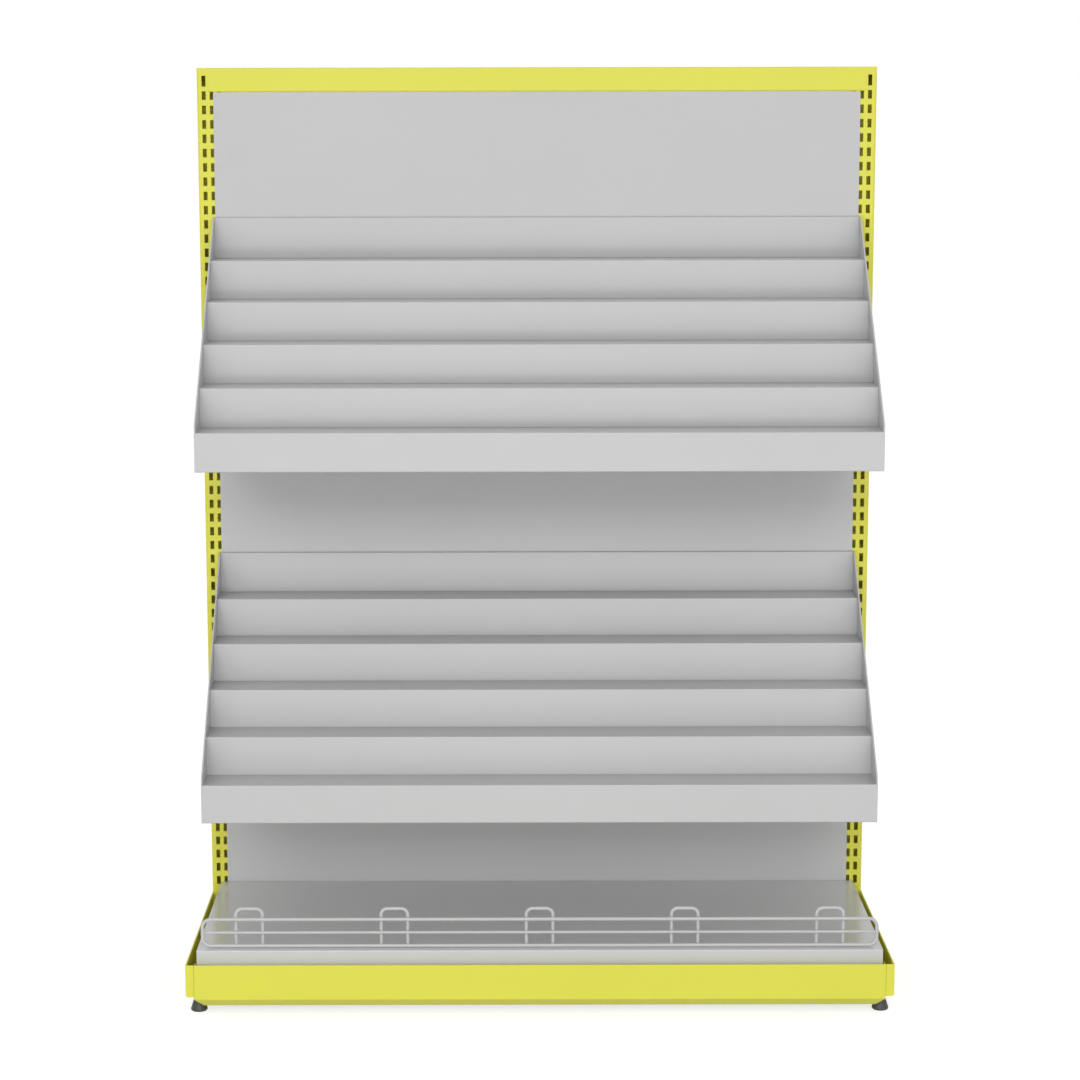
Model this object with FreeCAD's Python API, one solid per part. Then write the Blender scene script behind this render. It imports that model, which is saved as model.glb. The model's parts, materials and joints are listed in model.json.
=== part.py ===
import FreeCAD, Part
import math
import os

# A single-sided steel display unit for books. Slotted uprights, a base with a deck and back
# panels carry two stepped racks that hook into the slots. A wire fence stands on the deck.
# Millimetres. The origin is on the floor below the middle, +Z is up and the front faces -Y.

# Overall
overall_width = 1195.0
overall_height = 1583.0
base_reach = 435.0

# Sheet metal
frame_sheet = 2.0
rail_sheet = 1.5
plinth_sheet = 1.2
tray_sheet = 1.0
panel_sheet = 0.8
plate_sheet = 2.4
bend_share = 1.0

# Gaps
weld_gap = 0.1
seat_gap = 0.3
fit_gap = 0.5
overrun = 5.0
shortest_edge = 1e-6

# Uprights
upright_width = 38.0
upright_depth = 60.0
upright_foot_plate = 4.0
slot_pitch = 25.0
slot_width = 7.0
slot_height = 15.0
top_slot_height = 19.0
slot_column_spacing = 14.0
first_slot_drop = 48.0
lowest_slot_margin = 10.0

# Hooks that hang in the slots
hook_neck = 7.0
hook_drop = 5.5
hook_tongue = 4.0
rail_hook_neck = 9.0
rail_hook_drop = 8.0

# Top rail and lower rail
top_rail_height = 42.0
top_rail_depth = 25.0
rail_lip = 8.0
lower_rail_height = 40.0
lower_rail_depth = 26.0
lower_rail_bottom = 45.0
lower_rail_setback = 10.0
rail_bolt_spacing = 18.0

# Back panels
panel_count = 3
panel_return = 14.0
panel_bottom_gap = 4.0
panel_hook_inset = 60.0

# Base brackets
bracket_height = 55.5
bracket_seat_margin = 1.5
bracket_front_flange = 14.0
bracket_bolt_spacing = 24.0

# Plinth
plinth_fold_height = 28.0
plinth_return = 14.4
plinth_hem = 12.0
plinth_tab_depth = 18.0
plinth_tab_flange = 18.0

# Base deck
deck_top = 108.0
deck_rise = 20.0
deck_end_setback = 3.0
deck_front_setback = 19.0
deck_rear_gap = 2.5
deck_lip_drop = 28.0
deck_lip_return = 12.0
stiffener_width = 40.0
stiffener_height = 15.0
stiffener_flange = 14.0
stiffener_end_gap = 10.0

# Wire fence
fence_end_inset = 9.0
fence_height = 46.0
fence_setback = 17.0
fence_corner = 14.0
frame_wire = 6.0
mid_wire = 5.0
arch_wire = 6.0
arch_count = 5
arch_end_inset = 79.0
arch_width = 45.0
arch_height = 63.0
arch_corner = 11.0
arch_plug = 12.0

# Stepped racks
upper_rack_top = 1322.0
lower_rack_top = 722.0
rack_top_over_slot = 12.0
rack_wall_gap = 7.0
rack_wall_return = 5.0
step_count = 5
first_rise = 72.0
step_rise = 67.0
step_going = 72.0
step_upstand = 15.0
apron_height = 66.0
apron_return = 16.0
apron_lip = 8.0
plate_margin = 7.0
plate_corner = 6.0
lowest_hook_margin = 30.0

# Levelling feet
foot_setback = 32.0
pad_base_diameter = 28.0
pad_top_diameter = 15.0
pad_height = 24.0
pad_edge = 4.0
pad_chamfer = 1.5
pad_socket_floor = 10.0
stem_diameter = 10.0
stem_top = 75.0
stem_hex = 13.0
stem_hex_height = 4.0
stem_chamfer = 1.0
running_gap = 0.08
foot_hole_gap = 0.5
foot_nut_hex = 17.0
foot_nut_height = 8.0

# Bolts and screws
bolt_diameter = 8.0
bolt_hex = 13.0
bolt_head_height = 5.3
bolt_nut_height = 6.5
bolt_end = 2.0
bolt_hole_gap = 0.3
screw_diameter = 5.0
screw_head_diameter = 9.0
screw_head_height = 3.0
screw_length = 12.0

# Places that follow from the sizes
half_width = overall_width / 2
front_y = -(base_reach + upright_depth) / 2
face_y = front_y + base_reach
rear_y = face_y + upright_depth
inside_x = half_width - upright_width
column_x = half_width - upright_width / 2
inner_slot_x = column_x - slot_column_spacing / 2
outer_slot_x = column_x + slot_column_spacing / 2
first_slot_z = overall_height - first_slot_drop
bracket_top = deck_top - deck_rise
bracket_bottom = bracket_top - bracket_height
bracket_floor = bracket_bottom + frame_sheet
panel_face_y = face_y - panel_sheet
panel_half = inner_slot_x - slot_width / 2 + weld_gap + panel_sheet
plinth_half = half_width - bracket_front_flange - fit_gap
deck_seat = bracket_top + seat_gap
deck_half = plinth_half - deck_end_setback
deck_front_y = front_y + deck_front_setback
deck_rear_y = face_y - deck_rear_gap
deck_lip_low = deck_top - deck_lip_drop
fence_half = deck_half - fence_end_inset
fence_y = deck_front_y + fence_setback
fence_low_z = deck_top + seat_gap + frame_wire / 2
arch_y = fence_y + (frame_wire + arch_wire) / 2 + weld_gap
plate_inner_x = inner_slot_x - plate_sheet / 2
plate_outer_x = inner_slot_x + plate_sheet / 2
tray_half = plate_inner_x - weld_gap
riser_gap = tray_sheet * bend_share + weld_gap
front_foot_y = front_y + foot_setback
rear_foot_y = face_y + upright_depth / 2
bracket_bolt_z = bracket_bottom + bracket_height / 2
lower_rail_y = face_y + lower_rail_setback
lower_rail_half = inside_x - weld_gap
rail_bolt_y = lower_rail_y + lower_rail_depth / 2
rail_bolt_z = lower_rail_bottom + lower_rail_height / 2
plinth_screw_x = plinth_half - plinth_tab_flange / 2
plinth_screw_y = front_y + plinth_sheet + plinth_tab_depth / 2

nodes = {}


def vec(x, y, z):
    return FreeCAD.Vector(x, y, z)


def place(axis, a, b, along):
    """A point of an outline that is drawn square to an axis."""
    if axis == "X":
        return vec(along, a, b)
    if axis == "Y":
        return vec(a, along, b)
    return vec(a, b, along)


def box(x_span, y_span, z_span):
    low = [min(span) for span in (x_span, y_span, z_span)]
    high = [max(span) for span in (x_span, y_span, z_span)]
    size = [top - bottom for bottom, top in zip(low, high)]
    return Part.makeBox(*size, vec(*low))


def mirrored(shape):
    return shape.mirror(vec(0, 0, 0), vec(1, 0, 0))


def joined(first, others):
    return first.fuse(others).removeSplitter()


def rod(start, direction, radius, length):
    return Part.makeCylinder(radius, length, start, direction)


def hexagon(start, direction, across_flats, length):
    """A six-sided prism that stands on its start along a direction."""
    radius = across_flats / math.sqrt(3)
    angles = [side * math.pi / 3 for side in range(6)]
    ring = [(radius * math.cos(angle), radius * math.sin(angle)) for angle in angles]
    solid = prism(ring, [0] * len(ring), "Z", 0, length)
    solid.Placement = FreeCAD.Placement(start, FreeCAD.Rotation(vec(0, 0, 1), direction))
    return solid


def rounded_corner(before, point, after, radius):
    """Start, middle and end of the arc that rounds a corner."""
    into = (point - before).normalize()
    out = (after - point).normalize()
    turn = into.getAngle(out)
    reach = radius * math.tan(turn / 2)
    inward = (out - into).normalize()
    middle = point + inward * (radius / math.cos(turn / 2) - radius)
    return point - into * reach, middle, point + out * reach


def path_edges(points, radii, closed):
    """Straight runs joined by tangent arcs."""
    count = len(points)
    corners = []
    for index, point in enumerate(points):
        if radii[index] > 0:
            following = points[(index + 1) % count]
            corners.append(rounded_corner(points[index - 1], point, following, radii[index]))
        else:
            corners.append((point, None, point))
    edges = []
    for index, (start, middle, end) in enumerate(corners):
        if middle is not None:
            edges.append(Part.Arc(start, middle, end).toShape())
        if closed or index < count - 1:
            following = corners[(index + 1) % count][0]
            if (following - end).Length > shortest_edge:
                edges.append(Part.LineSegment(end, following).toShape())
    return edges


def prism(outline, radii, axis, low, high):
    """An outline with rounded corners, drawn out along an axis."""
    points = [place(axis, a, b, low) for a, b in outline]
    face = Part.Face(Part.Wire(path_edges(points, radii, True)))
    return face.extrude(place(axis, 0, 0, high - low))


def folded(path, sheet, axis, low, high):
    """A folded sheet. The path is one of its faces, and the sheet lies to the path's left."""
    bend = sheet * bend_share
    last = len(path) - 1
    runs = []
    for start, end in zip(path, path[1:]):
        length = math.dist(start, end)
        runs.append(((end[0] - start[0]) / length, (end[1] - start[1]) / length))
    inner = []
    path_radii = []
    inner_radii = []
    for index, (a, b) in enumerate(path):
        before = runs[max(index - 1, 0)]
        after = runs[min(index, last - 1)]
        shift = sheet / (1 + before[0] * after[0] + before[1] * after[1])
        inner.append((a - (before[1] + after[1]) * shift, b + (before[0] + after[0]) * shift))
        turn = before[0] * after[1] - before[1] * after[0]
        if index in (0, last):
            radius_pair = (0, 0)
        elif turn > 0:
            radius_pair = (bend + sheet, bend)
        else:
            radius_pair = (bend, bend + sheet)
        path_radii.append(radius_pair[0])
        inner_radii.append(radius_pair[1])
    return prism(path + inner[::-1], path_radii + inner_radii[::-1], axis, low, high)


def rounded_bar(x_span, y_span, radius, low, high):
    """A standing bar with rounded long edges."""
    outline = [
        (x_span[0], y_span[0]),
        (x_span[1], y_span[0]),
        (x_span[1], y_span[1]),
        (x_span[0], y_span[1]),
    ]
    return prism(outline, [radius] * len(outline), "Z", low, high)


def bent_wire(points, diameter, corner):
    """A round wire along points, with rounded corners."""
    radii = [0] + [corner] * (len(points) - 2) + [0]
    spine = Part.Wire(path_edges(points, radii, False))
    circle = Part.Circle(points[0], points[1] - points[0], diameter / 2)
    section = Part.Wire(circle.toShape())
    return spine.makePipeShell([section], True, False)


def slot_z(index):
    return first_slot_z - index * slot_pitch


def nearest_slot(height):
    return round((first_slot_z - height) / slot_pitch)


def hook(x_span, slot_low, neck, drop, root_y):
    """A hook that passes through a slot of the upright's face and drops behind it."""
    low = slot_low + seat_gap
    behind_y = face_y + frame_sheet + seat_gap
    end_y = behind_y + hook_tongue
    outline = [
        (root_y, low),
        (behind_y, low),
        (behind_y, low - drop),
        (end_y, low - drop),
        (end_y, low + neck),
        (root_y, low + neck),
    ]
    return prism(outline, [0] * len(outline), "X", min(x_span), max(x_span))


def slot_hook(x_span, index, root_y):
    return hook(x_span, slot_z(index) - slot_height / 2, hook_neck, hook_drop, root_y)


def without_ends(shape, keep_half, y_span, z_span):
    """Cuts a long piece back beyond keep_half at both ends, within the given spans."""
    end = box((keep_half, overall_width), y_span, z_span)
    return shape.cut([end, mirrored(end)])


def make_uprights():
    bend = frame_sheet * bend_share
    walls_x = (inside_x, half_width)
    walls_y = (face_y, rear_y)
    hollow_x = (inside_x + frame_sheet, half_width - frame_sheet)
    hollow_y = (face_y + frame_sheet, rear_y - frame_sheet)
    hollow_low = bracket_bottom + upright_foot_plate
    bar = rounded_bar(walls_x, walls_y, bend + frame_sheet, bracket_bottom, overall_height)
    upright = bar.cut(rounded_bar(hollow_x, hollow_y, bend, hollow_low, overall_height - frame_sheet))
    face_span = (face_y - overrun, face_y + frame_sheet + overrun)
    slot_count = int((first_slot_z - bracket_top - lowest_slot_margin) / slot_pitch) + 1
    cuts = []
    for middle_x in (inner_slot_x, outer_slot_x):
        x_span = (middle_x - slot_width / 2, middle_x + slot_width / 2)
        top_z = slot_z(-1)
        cuts.append(box(x_span, face_span, (top_z - top_slot_height / 2, top_z + top_slot_height / 2)))
        for index in range(slot_count):
            low_z = slot_z(index) - slot_height / 2
            cuts.append(box(x_span, face_span, (low_z, low_z + slot_height)))
    hole_radius = bolt_diameter / 2 + bolt_hole_gap
    for z in bracket_bolt_heights():
        face_start = vec(column_x, face_span[0], z)
        cuts.append(rod(face_start, vec(0, 1, 0), hole_radius, face_span[1] - face_span[0]))
    for z in rail_bolt_heights():
        wall_start = vec(inside_x - overrun, rail_bolt_y, z)
        cuts.append(rod(wall_start, vec(1, 0, 0), hole_radius, frame_sheet + overrun * 2))
    cuts.append(foot_hole(rear_foot_y))
    right = upright.cut(cuts)
    nodes["right_upright"] = right
    nodes["left_upright"] = mirrored(right)


def foot_hole(y):
    radius = stem_diameter / 2 + foot_hole_gap
    start = vec(column_x, y, bracket_bottom - overrun)
    return rod(start, vec(0, 0, 1), radius, upright_foot_plate + overrun * 2)


def bracket_bolt_heights():
    return [bracket_bolt_z - bracket_bolt_spacing / 2, bracket_bolt_z + bracket_bolt_spacing / 2]


def rail_bolt_heights():
    return [rail_bolt_z - rail_bolt_spacing / 2, rail_bolt_z + rail_bolt_spacing / 2]


def make_base_brackets():
    """Channels that are open on top. The deck's sides stand on the inner wall's flange."""
    section = [
        (deck_half + bracket_seat_margin, bracket_top),
        (inside_x, bracket_top),
        (inside_x, bracket_bottom),
        (half_width, bracket_bottom),
        (half_width, bracket_top),
    ]
    channel = folded(section, frame_sheet, "Y", front_y + frame_sheet, face_y - frame_sheet)
    corner = frame_sheet * (1 + bend_share)
    rear_flange = prism(section[1:], [corner, corner, corner, 0], "Y", face_y - frame_sheet, face_y)
    flange_x = half_width - bracket_front_flange
    front_outline = [(flange_x, z) if x == inside_x else (x, z) for x, z in section[1:]]
    front_flange = prism(front_outline, [0, 0, corner, 0], "Y", front_y, front_y + frame_sheet)
    bracket = joined(channel, [front_flange, rear_flange])
    notch_x = (inside_x - overrun, section[0][0] + overrun)
    notch_y = (front_y + frame_sheet, deck_front_y + deck_lip_return + fit_gap)
    notch = box(notch_x, notch_y, (deck_lip_low - fit_gap, bracket_top + overrun))
    cuts = [notch, foot_hole(front_foot_y)]
    hole_radius = bolt_diameter / 2 + bolt_hole_gap
    for z in bracket_bolt_heights():
        start = vec(column_x, face_y - frame_sheet - overrun, z)
        cuts.append(rod(start, vec(0, 1, 0), hole_radius, frame_sheet + overrun * 2))
    screw_start = vec(plinth_screw_x, plinth_screw_y, bracket_bottom - overrun)
    screw_hole = screw_diameter / 2 + running_gap
    cuts.append(rod(screw_start, vec(0, 0, 1), screw_hole, frame_sheet + overrun * 2))
    right = bracket.cut(cuts)
    nodes["right_base_bracket"] = right
    nodes["left_base_bracket"] = mirrored(right)


def make_plinth():
    fold_end = plinth_fold_height - plinth_return
    section = [
        (front_y, bracket_top),
        (front_y, plinth_fold_height),
        (front_y + plinth_return, fold_end),
    ]
    sheet = folded(section, plinth_sheet, "X", -plinth_half, plinth_half)
    back_y = front_y + plinth_sheet
    hem_half = inside_x - fit_gap
    hem_z = (bracket_top - plinth_hem, bracket_top)
    hem = box((-hem_half, hem_half), (back_y, back_y + plinth_sheet), hem_z)
    tab_y = (back_y, back_y + plinth_tab_depth)
    tab_top = bracket_top - frame_sheet - fit_gap
    tab = box((plinth_half - plinth_sheet, plinth_half), tab_y, (bracket_floor, tab_top))
    tab_floor = (bracket_floor, bracket_floor + plinth_sheet)
    tab_foot = box((plinth_half - plinth_tab_flange, plinth_half), tab_y, tab_floor)
    plinth = joined(sheet, [hem, tab, tab_foot, mirrored(tab), mirrored(tab_foot)])
    low_z = fold_end - overrun
    mitre_reach = plinth_fold_height - low_z
    mitre_outline = [
        (plinth_half, plinth_fold_height),
        (plinth_half + overrun, plinth_fold_height),
        (plinth_half + overrun, low_z),
        (plinth_half - mitre_reach, low_z),
    ]
    mitre_y = (front_y - overrun, front_y + plinth_return + overrun)
    mitre = prism(mitre_outline, [0] * len(mitre_outline), "Y", *mitre_y)
    screw_start = vec(plinth_screw_x, plinth_screw_y, bracket_floor - overrun)
    screw_radius = screw_diameter / 2 + running_gap
    screw_hole = rod(screw_start, vec(0, 0, 1), screw_radius, plinth_sheet + overrun * 2)
    nodes["plinth"] = plinth.cut([mitre, mirrored(mitre), screw_hole, mirrored(screw_hole)])


def make_top_rail():
    rail_face_y = face_y - rail_sheet
    back_y = rail_face_y + top_rail_depth
    low_z = overall_height - top_rail_height
    section = [
        (back_y, overall_height - rail_lip),
        (back_y, overall_height),
        (rail_face_y, overall_height),
        (rail_face_y, low_z),
        (back_y, low_z),
        (back_y, low_z + rail_lip),
    ]
    rail = folded(section, rail_sheet, "X", -column_x, column_x)
    all_z = (low_z - overrun, overall_height + overrun)
    rail = without_ends(rail, inside_x - fit_gap, (face_y, back_y + overrun), all_z)
    hook_x = (inner_slot_x - rail_sheet / 2, inner_slot_x + rail_sheet / 2)
    slot_low = slot_z(-1) - top_slot_height / 2
    rail_hook = hook(hook_x, slot_low, rail_hook_neck, rail_hook_drop, face_y)
    nodes["top_rail"] = joined(rail, [rail_hook, mirrored(rail_hook)])


def make_lower_rail():
    top_z = lower_rail_bottom + lower_rail_height
    back_y = lower_rail_y + lower_rail_depth
    section = [
        (back_y, top_z),
        (lower_rail_y, top_z),
        (lower_rail_y, lower_rail_bottom),
        (back_y, lower_rail_bottom),
    ]
    rail = folded(section, rail_sheet, "X", -lower_rail_half, lower_rail_half)
    corner = rail_sheet * (1 + bend_share)
    end_plate = prism(section, [0, corner, corner, 0], "X", lower_rail_half - rail_sheet, lower_rail_half)
    rail = joined(rail, [end_plate, mirrored(end_plate)])
    hole_radius = bolt_diameter / 2 + bolt_hole_gap
    cuts = []
    for z in rail_bolt_heights():
        start = vec(lower_rail_half - rail_sheet - overrun, rail_bolt_y, z)
        hole = rod(start, vec(1, 0, 0), hole_radius, rail_sheet + overrun * 2)
        cuts += [hole, mirrored(hole)]
    nodes["lower_rail"] = rail.cut(cuts)


def make_back_panels():
    stack_bottom = bracket_top + panel_bottom_gap
    stack_top = overall_height - top_rail_height - fit_gap
    panel_height = (stack_top - stack_bottom - fit_gap * (panel_count - 1)) / panel_count
    hook_x = (panel_half - panel_sheet, panel_half)
    for index, name in enumerate(("lower", "middle", "upper")):
        low_z = stack_bottom + index * (panel_height + fit_gap)
        high_z = low_z + panel_height
        section = [
            (panel_face_y + panel_return, high_z),
            (panel_face_y, high_z),
            (panel_face_y, low_z),
            (panel_face_y + panel_return, low_z),
        ]
        panel = folded(section, panel_sheet, "X", -panel_half, panel_half)
        return_y = (face_y, face_y + panel_return + overrun)
        panel = without_ends(panel, inside_x - fit_gap, return_y, (low_z - overrun, high_z + overrun))
        hooks = []
        for height in (low_z + panel_hook_inset, high_z - panel_hook_inset):
            panel_hook = slot_hook(hook_x, nearest_slot(height), panel_face_y)
            hooks += [panel_hook, mirrored(panel_hook)]
        nodes[f"back_panel_{name}"] = joined(panel, hooks)


def make_deck():
    section = [
        (deck_rear_y, deck_seat),
        (deck_rear_y, deck_top),
        (deck_front_y, deck_top),
        (deck_front_y, deck_lip_low),
        (deck_front_y + deck_lip_return, deck_lip_low),
    ]
    tray = folded(section, tray_sheet, "X", -deck_half, deck_half)
    inner_y = (deck_front_y + tray_sheet, deck_rear_y - tray_sheet)
    side = box((deck_half - tray_sheet, deck_half), inner_y, (deck_seat, deck_top - tray_sheet))
    tray = joined(tray, [side, mirrored(side)])
    holes = []
    for middle_x in arch_places():
        for leg_x in (middle_x - arch_width / 2, middle_x + arch_width / 2):
            start = vec(leg_x, arch_y, deck_top - tray_sheet - overrun)
            holes.append(rod(start, vec(0, 0, 1), arch_wire / 2 + seat_gap, tray_sheet + overrun * 2))
    nodes["base_deck"] = tray.cut(holes)
    middle_y = (deck_front_y + deck_rear_y) / 2
    flange_z = deck_top - tray_sheet * 2 - weld_gap
    half = stiffener_width / 2
    hat = [
        (middle_y - half - stiffener_flange, flange_z),
        (middle_y - half, flange_z),
        (middle_y - half, flange_z - stiffener_height),
        (middle_y + half, flange_z - stiffener_height),
        (middle_y + half, flange_z),
        (middle_y + half + stiffener_flange, flange_z),
    ]
    stiffener_half = inside_x - stiffener_end_gap
    nodes["deck_stiffener"] = folded(hat, tray_sheet, "X", -stiffener_half, stiffener_half)


def arch_places():
    outermost = fence_half - arch_end_inset
    return [outermost * (2 * index / (arch_count - 1) - 1) for index in range(arch_count)]


def make_fence():
    high_z = fence_low_z + fence_height
    half_loop = [
        vec(0, fence_y, fence_low_z),
        vec(fence_half, fence_y, fence_low_z),
        vec(fence_half, fence_y, high_z),
        vec(0, fence_y, high_z),
    ]
    right_half = bent_wire(half_loop, frame_wire, fence_corner)
    nodes["fence_frame"] = joined(right_half, [mirrored(right_half)])
    mid_y = arch_y - (arch_wire + mid_wire) / 2 - weld_gap
    mid_half = fence_half - frame_wire / 2 - weld_gap
    mid_start = vec(-mid_half, mid_y, fence_low_z + fence_height / 2)
    nodes["fence_mid_wire"] = rod(mid_start, vec(1, 0, 0), mid_wire / 2, mid_half * 2)
    for index, middle_x in enumerate(arch_places()):
        left_x = middle_x - arch_width / 2
        right_x = middle_x + arch_width / 2
        top_z = fence_low_z + arch_height
        arch = [
            vec(left_x, arch_y, deck_top - arch_plug),
            vec(left_x, arch_y, top_z),
            vec(right_x, arch_y, top_z),
            vec(right_x, arch_y, deck_top - arch_plug),
        ]
        nodes[f"fence_arch_{index + 1}"] = bent_wire(arch, arch_wire, arch_corner)


def make_rack(name, wanted_top):
    """One stepped rack. Its top follows the slot that is nearest to the wanted height."""
    top_slot = nearest_slot(wanted_top - rack_top_over_slot)
    top_z = slot_z(top_slot) + rack_top_over_slot
    nose_y = [face_y - rack_wall_gap - index * step_going for index in range(step_count + 1)]
    nose_z = [top_z] + [top_z - first_rise - index * step_rise for index in range(step_count)]
    low_z = nose_z[-1] - apron_height
    wall = [
        (nose_y[0] + rack_wall_return, top_z),
        (nose_y[0], top_z),
        (nose_y[0], nose_z[1] + riser_gap),
    ]
    nodes[f"{name}_back_sheet"] = folded(wall, tray_sheet, "X", -tray_half, tray_half)
    for index in range(1, step_count + 1):
        upstand_y = nose_y[index - 1] + tray_sheet + weld_gap
        tread = [
            (upstand_y, nose_z[index] + step_upstand),
            (upstand_y, nose_z[index]),
            (nose_y[index], nose_z[index]),
        ]
        if index < step_count:
            section = tread + [(nose_y[index], nose_z[index + 1] + riser_gap)]
            step = folded(section, tray_sheet, "X", -tray_half, tray_half)
        else:
            return_y = nose_y[index] + apron_return
            section = tread + [(nose_y[index], low_z), (return_y, low_z), (return_y, low_z + apron_lip)]
            step = folded(section, tray_sheet, "X", -plate_outer_x, plate_outer_x)
            behind_apron = (nose_y[index] + tray_sheet, face_y)
            step = without_ends(step, tray_half, behind_apron, (low_z - overrun, top_z))
        nodes[f"{name}_step_{index}"] = step
    make_end_plates(name, nose_y, nose_z, low_z, top_slot)


def make_end_plates(name, nose_y, nose_z, low_z, top_slot):
    """Sloped plates whose front edge runs parallel to the step noses, a margin in front of them."""
    slope_length = math.hypot(step_going, step_rise)
    edge_y = nose_y[1] - plate_margin * step_rise / slope_length
    edge_z = nose_z[1] + plate_margin * step_going / slope_length
    plate_front_y = nose_y[-1] + tray_sheet + weld_gap
    plate_rear_y = face_y - seat_gap
    outline = [
        (plate_rear_y, nose_z[0]),
        (edge_y + (nose_z[0] - edge_z) * step_going / step_rise, nose_z[0]),
        (plate_front_y, edge_z + (plate_front_y - edge_y) * step_rise / step_going),
        (plate_front_y, low_z),
        (plate_rear_y, low_z),
    ]
    radii = [0, plate_corner, plate_corner, 0, 0]
    plate = prism(outline, radii, "X", plate_inner_x, plate_outer_x)
    low_slot = int((first_slot_z - low_z - lowest_hook_margin) / slot_pitch)
    hook_x = (plate_inner_x, plate_outer_x)
    hook_slots = (top_slot, (top_slot + low_slot) // 2, low_slot)
    right = joined(plate, [slot_hook(hook_x, index, plate_rear_y) for index in hook_slots])
    nodes[f"{name}_right_end_plate"] = right
    nodes[f"{name}_left_end_plate"] = mirrored(right)


def foot_places():
    return {
        "front_left": (-column_x, front_foot_y),
        "front_right": (column_x, front_foot_y),
        "rear_left": (-column_x, rear_foot_y),
        "rear_right": (column_x, rear_foot_y),
    }


def make_feet():
    socket_radius = stem_diameter / 2 + running_gap
    pad_outline = [
        (0, 0),
        (pad_base_diameter / 2 - pad_chamfer, 0),
        (pad_base_diameter / 2, pad_chamfer),
        (pad_base_diameter / 2, pad_edge),
        (pad_top_diameter / 2, pad_height),
        (socket_radius, pad_height),
        (socket_radius, pad_socket_floor),
        (0, pad_socket_floor),
    ]
    points = [vec(radius, 0, z) for radius, z in pad_outline]
    pad_face = Part.Face(Part.Wire(path_edges(points, [0] * len(points), True)))
    pad = pad_face.revolve(vec(0, 0, 0), vec(0, 0, 1), 360)
    stem_low = pad_socket_floor + running_gap
    stem_end = stem_top - stem_chamfer
    stem_radius = stem_diameter / 2
    up = vec(0, 0, 1)
    shank = rod(vec(0, 0, stem_low), up, stem_radius, stem_end - stem_low)
    tip = Part.makeCone(stem_radius, stem_radius - stem_chamfer, stem_chamfer, vec(0, 0, stem_end), up)
    collar = hexagon(vec(0, 0, pad_height + running_gap), up, stem_hex, stem_hex_height)
    stem = joined(shank, [tip, collar])
    for name, (x, y) in foot_places().items():
        nodes[f"{name}_foot_pad"] = pad.translated(vec(x, y, 0))
        nodes[f"{name}_foot_stem"] = stem.translated(vec(x, y, 0))


def nut(start, direction, across_flats, height, diameter):
    bore = rod(start - direction * overrun, direction, diameter / 2 + running_gap, height + overrun * 2)
    return hexagon(start, direction, across_flats, height).cut(bore)


def bolt(head_start, direction, grip):
    """A hex bolt, from the outside of its head to its end past a nut."""
    head = hexagon(head_start, direction, bolt_hex, bolt_head_height)
    shank_length = bolt_head_height + grip + bolt_nut_height + bolt_end
    return joined(head, [rod(head_start, direction, bolt_diameter / 2, shank_length)])


def make_fasteners():
    up = vec(0, 0, 1)
    foot_nuts = []
    for x, y in foot_places().values():
        floor = bracket_floor if y == front_foot_y else bracket_bottom + upright_foot_plate
        foot_nuts.append(nut(vec(x, y, floor), up, foot_nut_hex, foot_nut_height, stem_diameter))
    nodes["foot_nuts"] = Part.makeCompound(foot_nuts)
    back = vec(0, 1, 0)
    bolts = []
    nuts = []
    for z in bracket_bolt_heights():
        start = vec(column_x, face_y - frame_sheet - bolt_head_height, z)
        bolts.append(bolt(start, back, frame_sheet * 2))
        nut_start = vec(column_x, face_y + frame_sheet, z)
        nuts.append(nut(nut_start, back, bolt_hex, bolt_nut_height, bolt_diameter))
    nodes["bracket_bolts"] = Part.makeCompound(bolts + [mirrored(piece) for piece in bolts])
    nodes["bracket_nuts"] = Part.makeCompound(nuts + [mirrored(piece) for piece in nuts])
    outward = vec(1, 0, 0)
    bolts = []
    nuts = []
    for z in rail_bolt_heights():
        start = vec(lower_rail_half - rail_sheet - bolt_head_height, rail_bolt_y, z)
        bolts.append(bolt(start, outward, rail_sheet + weld_gap + frame_sheet))
        nut_start = vec(inside_x + frame_sheet, rail_bolt_y, z)
        nuts.append(nut(nut_start, outward, bolt_hex, bolt_nut_height, bolt_diameter))
    nodes["rail_bolts"] = Part.makeCompound(bolts + [mirrored(piece) for piece in bolts])
    nodes["rail_nuts"] = Part.makeCompound(nuts + [mirrored(piece) for piece in nuts])
    head_z = bracket_floor + plinth_sheet
    head = rod(vec(plinth_screw_x, plinth_screw_y, head_z), up, screw_head_diameter / 2, screw_head_height)
    shank_start = vec(plinth_screw_x, plinth_screw_y, head_z - screw_length)
    screw = joined(head, [rod(shank_start, up, screw_diameter / 2, screw_length)])
    nodes["plinth_screws"] = Part.makeCompound([screw, mirrored(screw)])


make_uprights()
make_base_brackets()
make_plinth()
make_top_rail()
make_lower_rail()
make_back_panels()
make_deck()
make_fence()
make_rack("upper", upper_rack_top)
make_rack("lower", lower_rack_top)
make_feet()
make_fasteners()

os.makedirs("parts", exist_ok=True)
for node, shape in nodes.items():
    shape.exportStep(f"parts/{node}.step")
    state = "valid" if shape.isValid() else "not valid"
    print(node, len(shape.Solids), "solids", round(shape.Volume), "mm3", state)
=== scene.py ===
import json
import math

import bpy
from mathutils import Matrix, Vector

# Looks for a single-sided steel display unit for books. Metres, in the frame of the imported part.

# Camera
camera_place = (-0.0559, -4.6261, 1.5176)
camera_level_deg = 90.0
camera_tilt_deg = 9.142
camera_roll_deg = -0.11
camera_lens_mm = 90.09
camera_shift_share = 0.03159
camera_sensor_mm = 36.0

# Softboxes
key_place = (-1.0, -11.9, 6.0)
key_aim = (0.0, 0.0, 0.75)
key_size = (10.0, 3.6)
key_watts = 505.0
fill_place = (0.0, -3.0, 0.5)
fill_aim = (0.0, 0.0, 0.1)
fill_size = (3.0, 0.6)
fill_watts = 17.0

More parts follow.
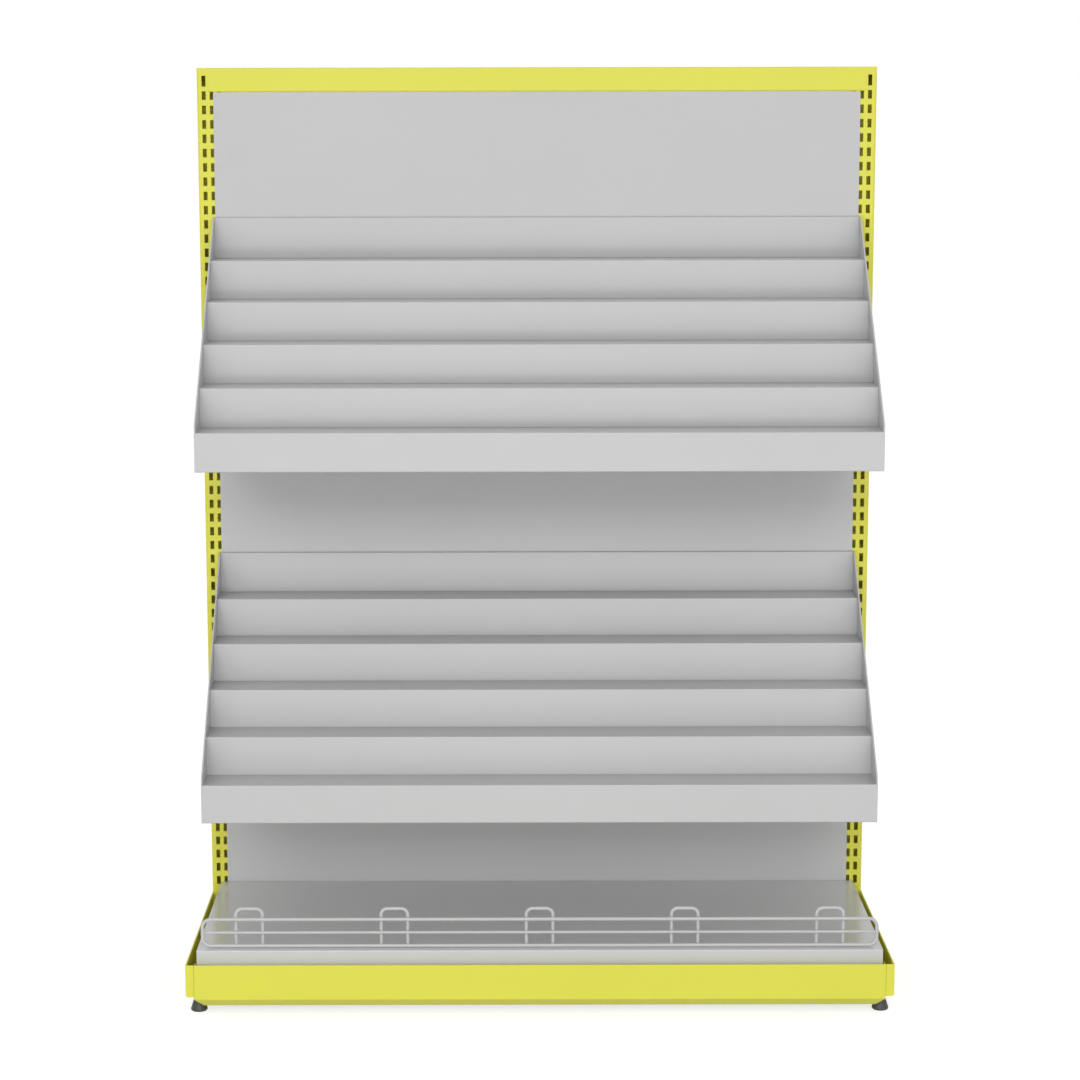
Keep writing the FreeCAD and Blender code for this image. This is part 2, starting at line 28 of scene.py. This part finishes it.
# Light from all round: its strengths, and the Y part of a direction that looks to the front
world_front = 0.62
world_back = 1.25
world_above = 0.42
direction_front = -1.0
white_colour = (1.0, 1.0, 1.0, 1.0)

# Floor
floor_size = 40.0
floor_albedo = 0.62
floor_glow = 0.67

# Colours, linear
yellow_colour = (0.790, 0.772, 0.075)
grey_colour = (0.585, 0.585, 0.585)
# The deck: the panels' grey made lighter, painted light that brightens the deck and its lip
deck_painted_light_colour = (0.660, 0.660, 0.660)
wire_colour = (0.585, 0.585, 0.585)
plastic_colour = (0.035, 0.035, 0.036)
zinc_colour = (0.60, 0.60, 0.58)

# Below, a noise is its scale and detail, a roughness its lowest and highest value, and a bump its
# strength and depth.
noise_middle = (0.3, 0.7)
whole_span = (0.0, 1.0)

# Powder paint
yellow_roughness = (0.40, 0.50)
grey_roughness = (0.38, 0.46)
deck_roughness = (0.14, 0.20)
wire_roughness = (0.34, 0.44)
paint_specular = 0.50
drift_noise = (2.5, 3.0)
drift_darker_share = 0.965
patch_noise = (60.0, 2.0)
peel_noise = (420.0, 1.0)
peel_bump = (0.10, 0.0003)
paint_grain_noise = (2200.0, 2.0)
paint_grain_bump = (0.12, 0.0001)

# Painted shade in folds: how far a fold reaches, when it counts as closed and how dark the painted
# shade gets
painted_shade_reach = 0.055
painted_shade_closed_share = 0.5
painted_shade_darkest_share = 0.85

# Moulded plastic
plastic_roughness = (0.42, 0.58)
scuff_noise = (140.0, 6.0)
scuff_paler_share = 1.8
plastic_grain_noise = (1800.0, 2.0)
plastic_grain_bump = (0.25, 0.0002)

# Zinc plate, and the thread on the feet's stems
zinc_roughness = (0.28, 0.46)
cloud_noise = (180.0, 4.0)
cloud_darker_share = 0.82
zinc_grain_noise = (1500.0, 3.0)
zinc_grain_bump = (0.08, 0.0001)
thread_pitch = 0.0015
thread_bump = (0.9, thread_pitch / 2)
wave_phase_per_metre = 20.0

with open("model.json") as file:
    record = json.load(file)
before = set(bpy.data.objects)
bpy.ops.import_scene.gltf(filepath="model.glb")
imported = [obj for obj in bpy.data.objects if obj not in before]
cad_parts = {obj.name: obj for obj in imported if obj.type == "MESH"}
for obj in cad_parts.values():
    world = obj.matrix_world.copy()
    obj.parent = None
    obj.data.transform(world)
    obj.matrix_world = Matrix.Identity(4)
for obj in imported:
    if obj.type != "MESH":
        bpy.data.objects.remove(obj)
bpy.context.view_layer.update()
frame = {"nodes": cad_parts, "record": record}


def new_material(name):
    """A material with its principled shader and the place on the object."""
    material = bpy.data.materials.new(name)
    material.use_nodes = True
    nodes = material.node_tree.nodes
    shader = nodes["Principled BSDF"]
    place = nodes.new("ShaderNodeTexCoord").outputs["Object"]
    return material, shader, place


def noise(material, place, scale_and_detail):
    """A noise value that varies over the object."""
    node = material.node_tree.nodes.new("ShaderNodeTexNoise")
    node.inputs["Scale"].default_value, node.inputs["Detail"].default_value = scale_and_detail
    material.node_tree.links.new(place, node.inputs["Vector"])
    return node.outputs["Fac"]


def ranged(material, value, span):
    """Spreads the middle of a noise value over a span."""
    node = material.node_tree.nodes.new("ShaderNodeMapRange")
    node.inputs["From Min"].default_value, node.inputs["From Max"].default_value = noise_middle
    node.inputs["To Min"].default_value, node.inputs["To Max"].default_value = span
    material.node_tree.links.new(value, node.inputs["Value"])
    return node.outputs["Result"]


def varied_colour(material, value, colour, far_share):
    """A colour that drifts with a noise value towards a share of itself."""
    node = material.node_tree.nodes.new("ShaderNodeMix")
    node.data_type = "RGBA"
    node.inputs["A"].default_value = (*colour, 1.0)
    node.inputs["B"].default_value = (*[part * far_share for part in colour], 1.0)
    material.node_tree.links.new(value, node.inputs["Factor"])
    return node.outputs["Result"]


def painted_shade_in_folds(material, colour):
    """Darkens a colour towards inside folds: painted shade, found by an ambient occlusion node."""
    nodes = material.node_tree.nodes
    links = material.node_tree.links
    open_share = nodes.new("ShaderNodeAmbientOcclusion")
    open_share.inputs["Distance"].default_value = painted_shade_reach
    shade = nodes.new("ShaderNodeMapRange")
    shade.inputs["From Min"].default_value = painted_shade_closed_share
    shade.inputs["To Min"].default_value = painted_shade_darkest_share
    links.new(open_share.outputs["AO"], shade.inputs["Value"])
    scaled = nodes.new("ShaderNodeVectorMath")
    scaled.operation = "SCALE"
    links.new(colour, scaled.inputs["Vector"])
    links.new(shade.outputs["Result"], scaled.inputs["Scale"])
    return scaled.outputs["Vector"]


def bumped(material, shader, heights):
    """Chains bumps, each given as a height socket with its strength and depth."""
    nodes = material.node_tree.nodes
    links = material.node_tree.links
    previous = None
    for height, (strength, depth) in heights:
        bump = nodes.new("ShaderNodeBump")
        bump.inputs["Strength"].default_value = strength
        bump.inputs["Distance"].default_value = depth
        links.new(height, bump.inputs["Height"])
        if previous is not None:
            links.new(previous, bump.inputs["Normal"])
        previous = bump.outputs["Normal"]
    links.new(previous, shader.inputs["Normal"])


def powder_coat(name, colour, roughness, with_painted_fold_shade=False):
    """Baked powder paint: faint colour drift, orange peel, a fine grain and, if asked, painted shade
    in the folds.
    """
    material, shader, place = new_material(name)
    links = material.node_tree.links
    drift = ranged(material, noise(material, place, drift_noise), whole_span)
    paint = varied_colour(material, drift, colour, drift_darker_share)
    # Painted shade, darker in the inside folds
    if with_painted_fold_shade:
        paint = painted_shade_in_folds(material, paint)
    links.new(paint, shader.inputs["Base Color"])
    patches = noise(material, place, patch_noise)
    links.new(ranged(material, patches, roughness), shader.inputs["Roughness"])
    peel = noise(material, place, peel_noise)
    grain = noise(material, place, paint_grain_noise)
    bumped(material, shader, [(peel, peel_bump), (grain, paint_grain_bump)])
    shader.inputs["Specular IOR Level"].default_value = paint_specular
    return material


def moulded_plastic(name, colour):
    """Black plastic with a fine spark-eroded grain and paler scuffs."""
    material, shader, place = new_material(name)
    links = material.node_tree.links
    scuffs = ranged(material, noise(material, place, scuff_noise), whole_span)
    links.new(varied_colour(material, scuffs, colour, scuff_paler_share), shader.inputs["Base Color"])
    links.new(ranged(material, scuffs, plastic_roughness), shader.inputs["Roughness"])
    grain = noise(material, place, plastic_grain_noise)
    bumped(material, shader, [(grain, plastic_grain_bump)])
    return material


def zinc_plate(name, colour, threaded=False):
    """Plated steel with cloudy spangle, and thread rings where it is threaded."""
    material, shader, place = new_material(name)
    nodes = material.node_tree.nodes
    links = material.node_tree.links
    shader.inputs["Metallic"].default_value = 1.0
    cloud = ranged(material, noise(material, place, cloud_noise), whole_span)
    links.new(varied_colour(material, cloud, colour, cloud_darker_share), shader.inputs["Base Color"])
    links.new(ranged(material, cloud, zinc_roughness), shader.inputs["Roughness"])
    heights = [(noise(material, place, zinc_grain_noise), zinc_grain_bump)]
    if threaded:
        wave = nodes.new("ShaderNodeTexWave")
        wave.bands_direction = "Z"
        wave.inputs["Scale"].default_value = math.tau / (wave_phase_per_metre * thread_pitch)
        links.new(place, wave.inputs["Vector"])
        heights.append((wave.outputs["Fac"], thread_bump))
    bumped(material, shader, heights)
    return material


def dress_frame():
    """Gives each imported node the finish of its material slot, or a finish of its own."""
    finishes = {
        "yellow_paint": powder_coat("yellow_powder_coat", yellow_colour, yellow_roughness),
        "grey_paint": powder_coat("grey_powder_coat", grey_colour, grey_roughness),
        "wire_coating": powder_coat("wire_powder_coat", wire_colour, wire_roughness),
        "black_plastic": moulded_plastic("black_plastic", plastic_colour),
        "zinc_steel": zinc_plate("zinc_plate", zinc_colour),
    }
    threaded = zinc_plate("threaded_zinc_plate", zinc_colour, threaded=True)
    # The racks' grey, with painted shade darkening its inside folds
    rack_grey_painted_shade = powder_coat("rack_powder_coat_painted_shade", grey_colour, grey_roughness, with_painted_fold_shade=True)
    # The deck's paint, the panels' grey lightened as painted light
    deck_grey_painted_light = powder_coat("deck_powder_coat_painted_light", deck_painted_light_colour, deck_roughness)
    for part in frame["record"]["subparts"]:
        node = part["node"]
        finish = finishes[part["material_slot"]]
        if node.endswith("_foot_stem"):
            finish = threaded
        elif "_step_" in node or node.endswith(("_back_sheet", "_end_plate")):
            finish = rack_grey_painted_shade
        elif node == "base_deck":
            finish = deck_grey_painted_light
        mesh = frame["nodes"][node].data
        mesh.materials.clear()
        mesh.materials.append(finish)


def ray_is_seen(nodes, links):
    """One for rays that show the background: camera, mirror and glass rays."""
    path = nodes.new("ShaderNodeLightPath")
    seen = path.outputs["Is Camera Ray"]
    for kind in ("Is Glossy Ray", "Is Transmission Ray"):
        larger = nodes.new("ShaderNodeMath")
        larger.operation = "MAXIMUM"
        links.new(seen, larger.inputs[0])
        links.new(path.outputs[kind], larger.inputs[1])
        seen = larger.outputs["Value"]
    return seen


def make_floor():
    """A pale floor that takes the shadows and shows white round them."""
    bpy.ops.mesh.primitive_plane_add(size=floor_size)
    floor = bpy.context.object
    floor.name = "floor"
    material = bpy.data.materials.new("pale_floor")
    material.use_nodes = True
    nodes = material.node_tree.nodes
    links = material.node_tree.links
    nodes.clear()
    lit = nodes.new("ShaderNodeBsdfDiffuse")
    lit.inputs["Color"].default_value = (floor_albedo, floor_albedo, floor_albedo, 1.0)
    strength = nodes.new("ShaderNodeMapRange")
    strength.inputs["To Max"].default_value = floor_glow
    links.new(ray_is_seen(nodes, links), strength.inputs["Value"])
    glow = nodes.new("ShaderNodeEmission")
    links.new(strength.outputs["Result"], glow.inputs["Strength"])
    shown = nodes.new("ShaderNodeAddShader")
    links.new(lit.outputs["BSDF"], shown.inputs[0])
    links.new(glow.outputs["Emission"], shown.inputs[1])
    output = nodes.new("ShaderNodeOutputMaterial")
    links.new(shown.outputs["Shader"], output.inputs["Surface"])
    floor.data.materials.append(material)


def make_world():
    """Soft light from the front, the back and above, on a white background."""
    world = bpy.data.worlds.new("studio")
    bpy.context.scene.world = world
    world.use_nodes = True
    nodes = world.node_tree.nodes
    links = world.node_tree.links
    nodes.clear()
    direction = nodes.new("ShaderNodeSeparateXYZ")
    links.new(nodes.new("ShaderNodeTexCoord").outputs["Generated"], direction.inputs["Vector"])
    around = nodes.new("ShaderNodeMapRange")
    around.inputs["From Min"].default_value = direction_front
    around.inputs["To Min"].default_value = world_front
    around.inputs["To Max"].default_value = world_back
    links.new(direction.outputs["Y"], around.inputs["Value"])
    upward = nodes.new("ShaderNodeMapRange")
    upward.inputs["To Max"].default_value = world_above
    links.new(direction.outputs["Z"], upward.inputs["Value"])
    links.new(around.outputs["Result"], upward.inputs["To Min"])
    light = nodes.new("ShaderNodeBackground")
    light.inputs["Color"].default_value = white_colour
    links.new(upward.outputs["Result"], light.inputs["Strength"])
    white = nodes.new("ShaderNodeBackground")
    white.inputs["Color"].default_value = white_colour
    mix = nodes.new("ShaderNodeMixShader")
    links.new(ray_is_seen(nodes, links), mix.inputs["Fac"])
    links.new(light.outputs["Background"], mix.inputs[1])
    links.new(white.outputs["Background"], mix.inputs[2])
    output = nodes.new("ShaderNodeOutputWorld")
    links.new(mix.outputs["Shader"], output.inputs["Surface"])


def make_softbox(name, place, aim, size, watts):
    """A rectangular soft lamp, itself out of the picture."""
    lamp = bpy.data.lights.new(name, "AREA")
    lamp.shape = "RECTANGLE"
    lamp.size, lamp.size_y = size
    lamp.energy = watts
    softbox = bpy.data.objects.new(name, lamp)
    softbox.location = place
    towards = Vector(aim) - Vector(place)
    softbox.rotation_euler = towards.to_track_quat("-Z", "Y").to_euler()
    softbox.visible_camera = False
    bpy.context.collection.objects.link(softbox)


def make_camera():
    """Looks along Y, tilted down and rolled slightly, as the photo does."""
    lens = bpy.data.cameras.new("camera")
    lens.sensor_width = camera_sensor_mm
    lens.lens = camera_lens_mm
    lens.shift_x = camera_shift_share
    camera = bpy.data.objects.new("camera", lens)
    camera.location = camera_place
    tilted = Matrix.Rotation(math.radians(camera_level_deg - camera_tilt_deg), 3, "X")
    rolled = Matrix.Rotation(math.radians(camera_roll_deg), 3, "Z")
    camera.rotation_euler = (tilted @ rolled).to_euler()
    bpy.context.collection.objects.link(camera)
    bpy.context.scene.camera = camera


dress_frame()
make_floor()
make_world()
make_softbox("key", key_place, key_aim, key_size, key_watts)
make_softbox("fill", fill_place, fill_aim, fill_size, fill_watts)
make_camera()
bpy.context.scene.view_settings.view_transform = "Standard"
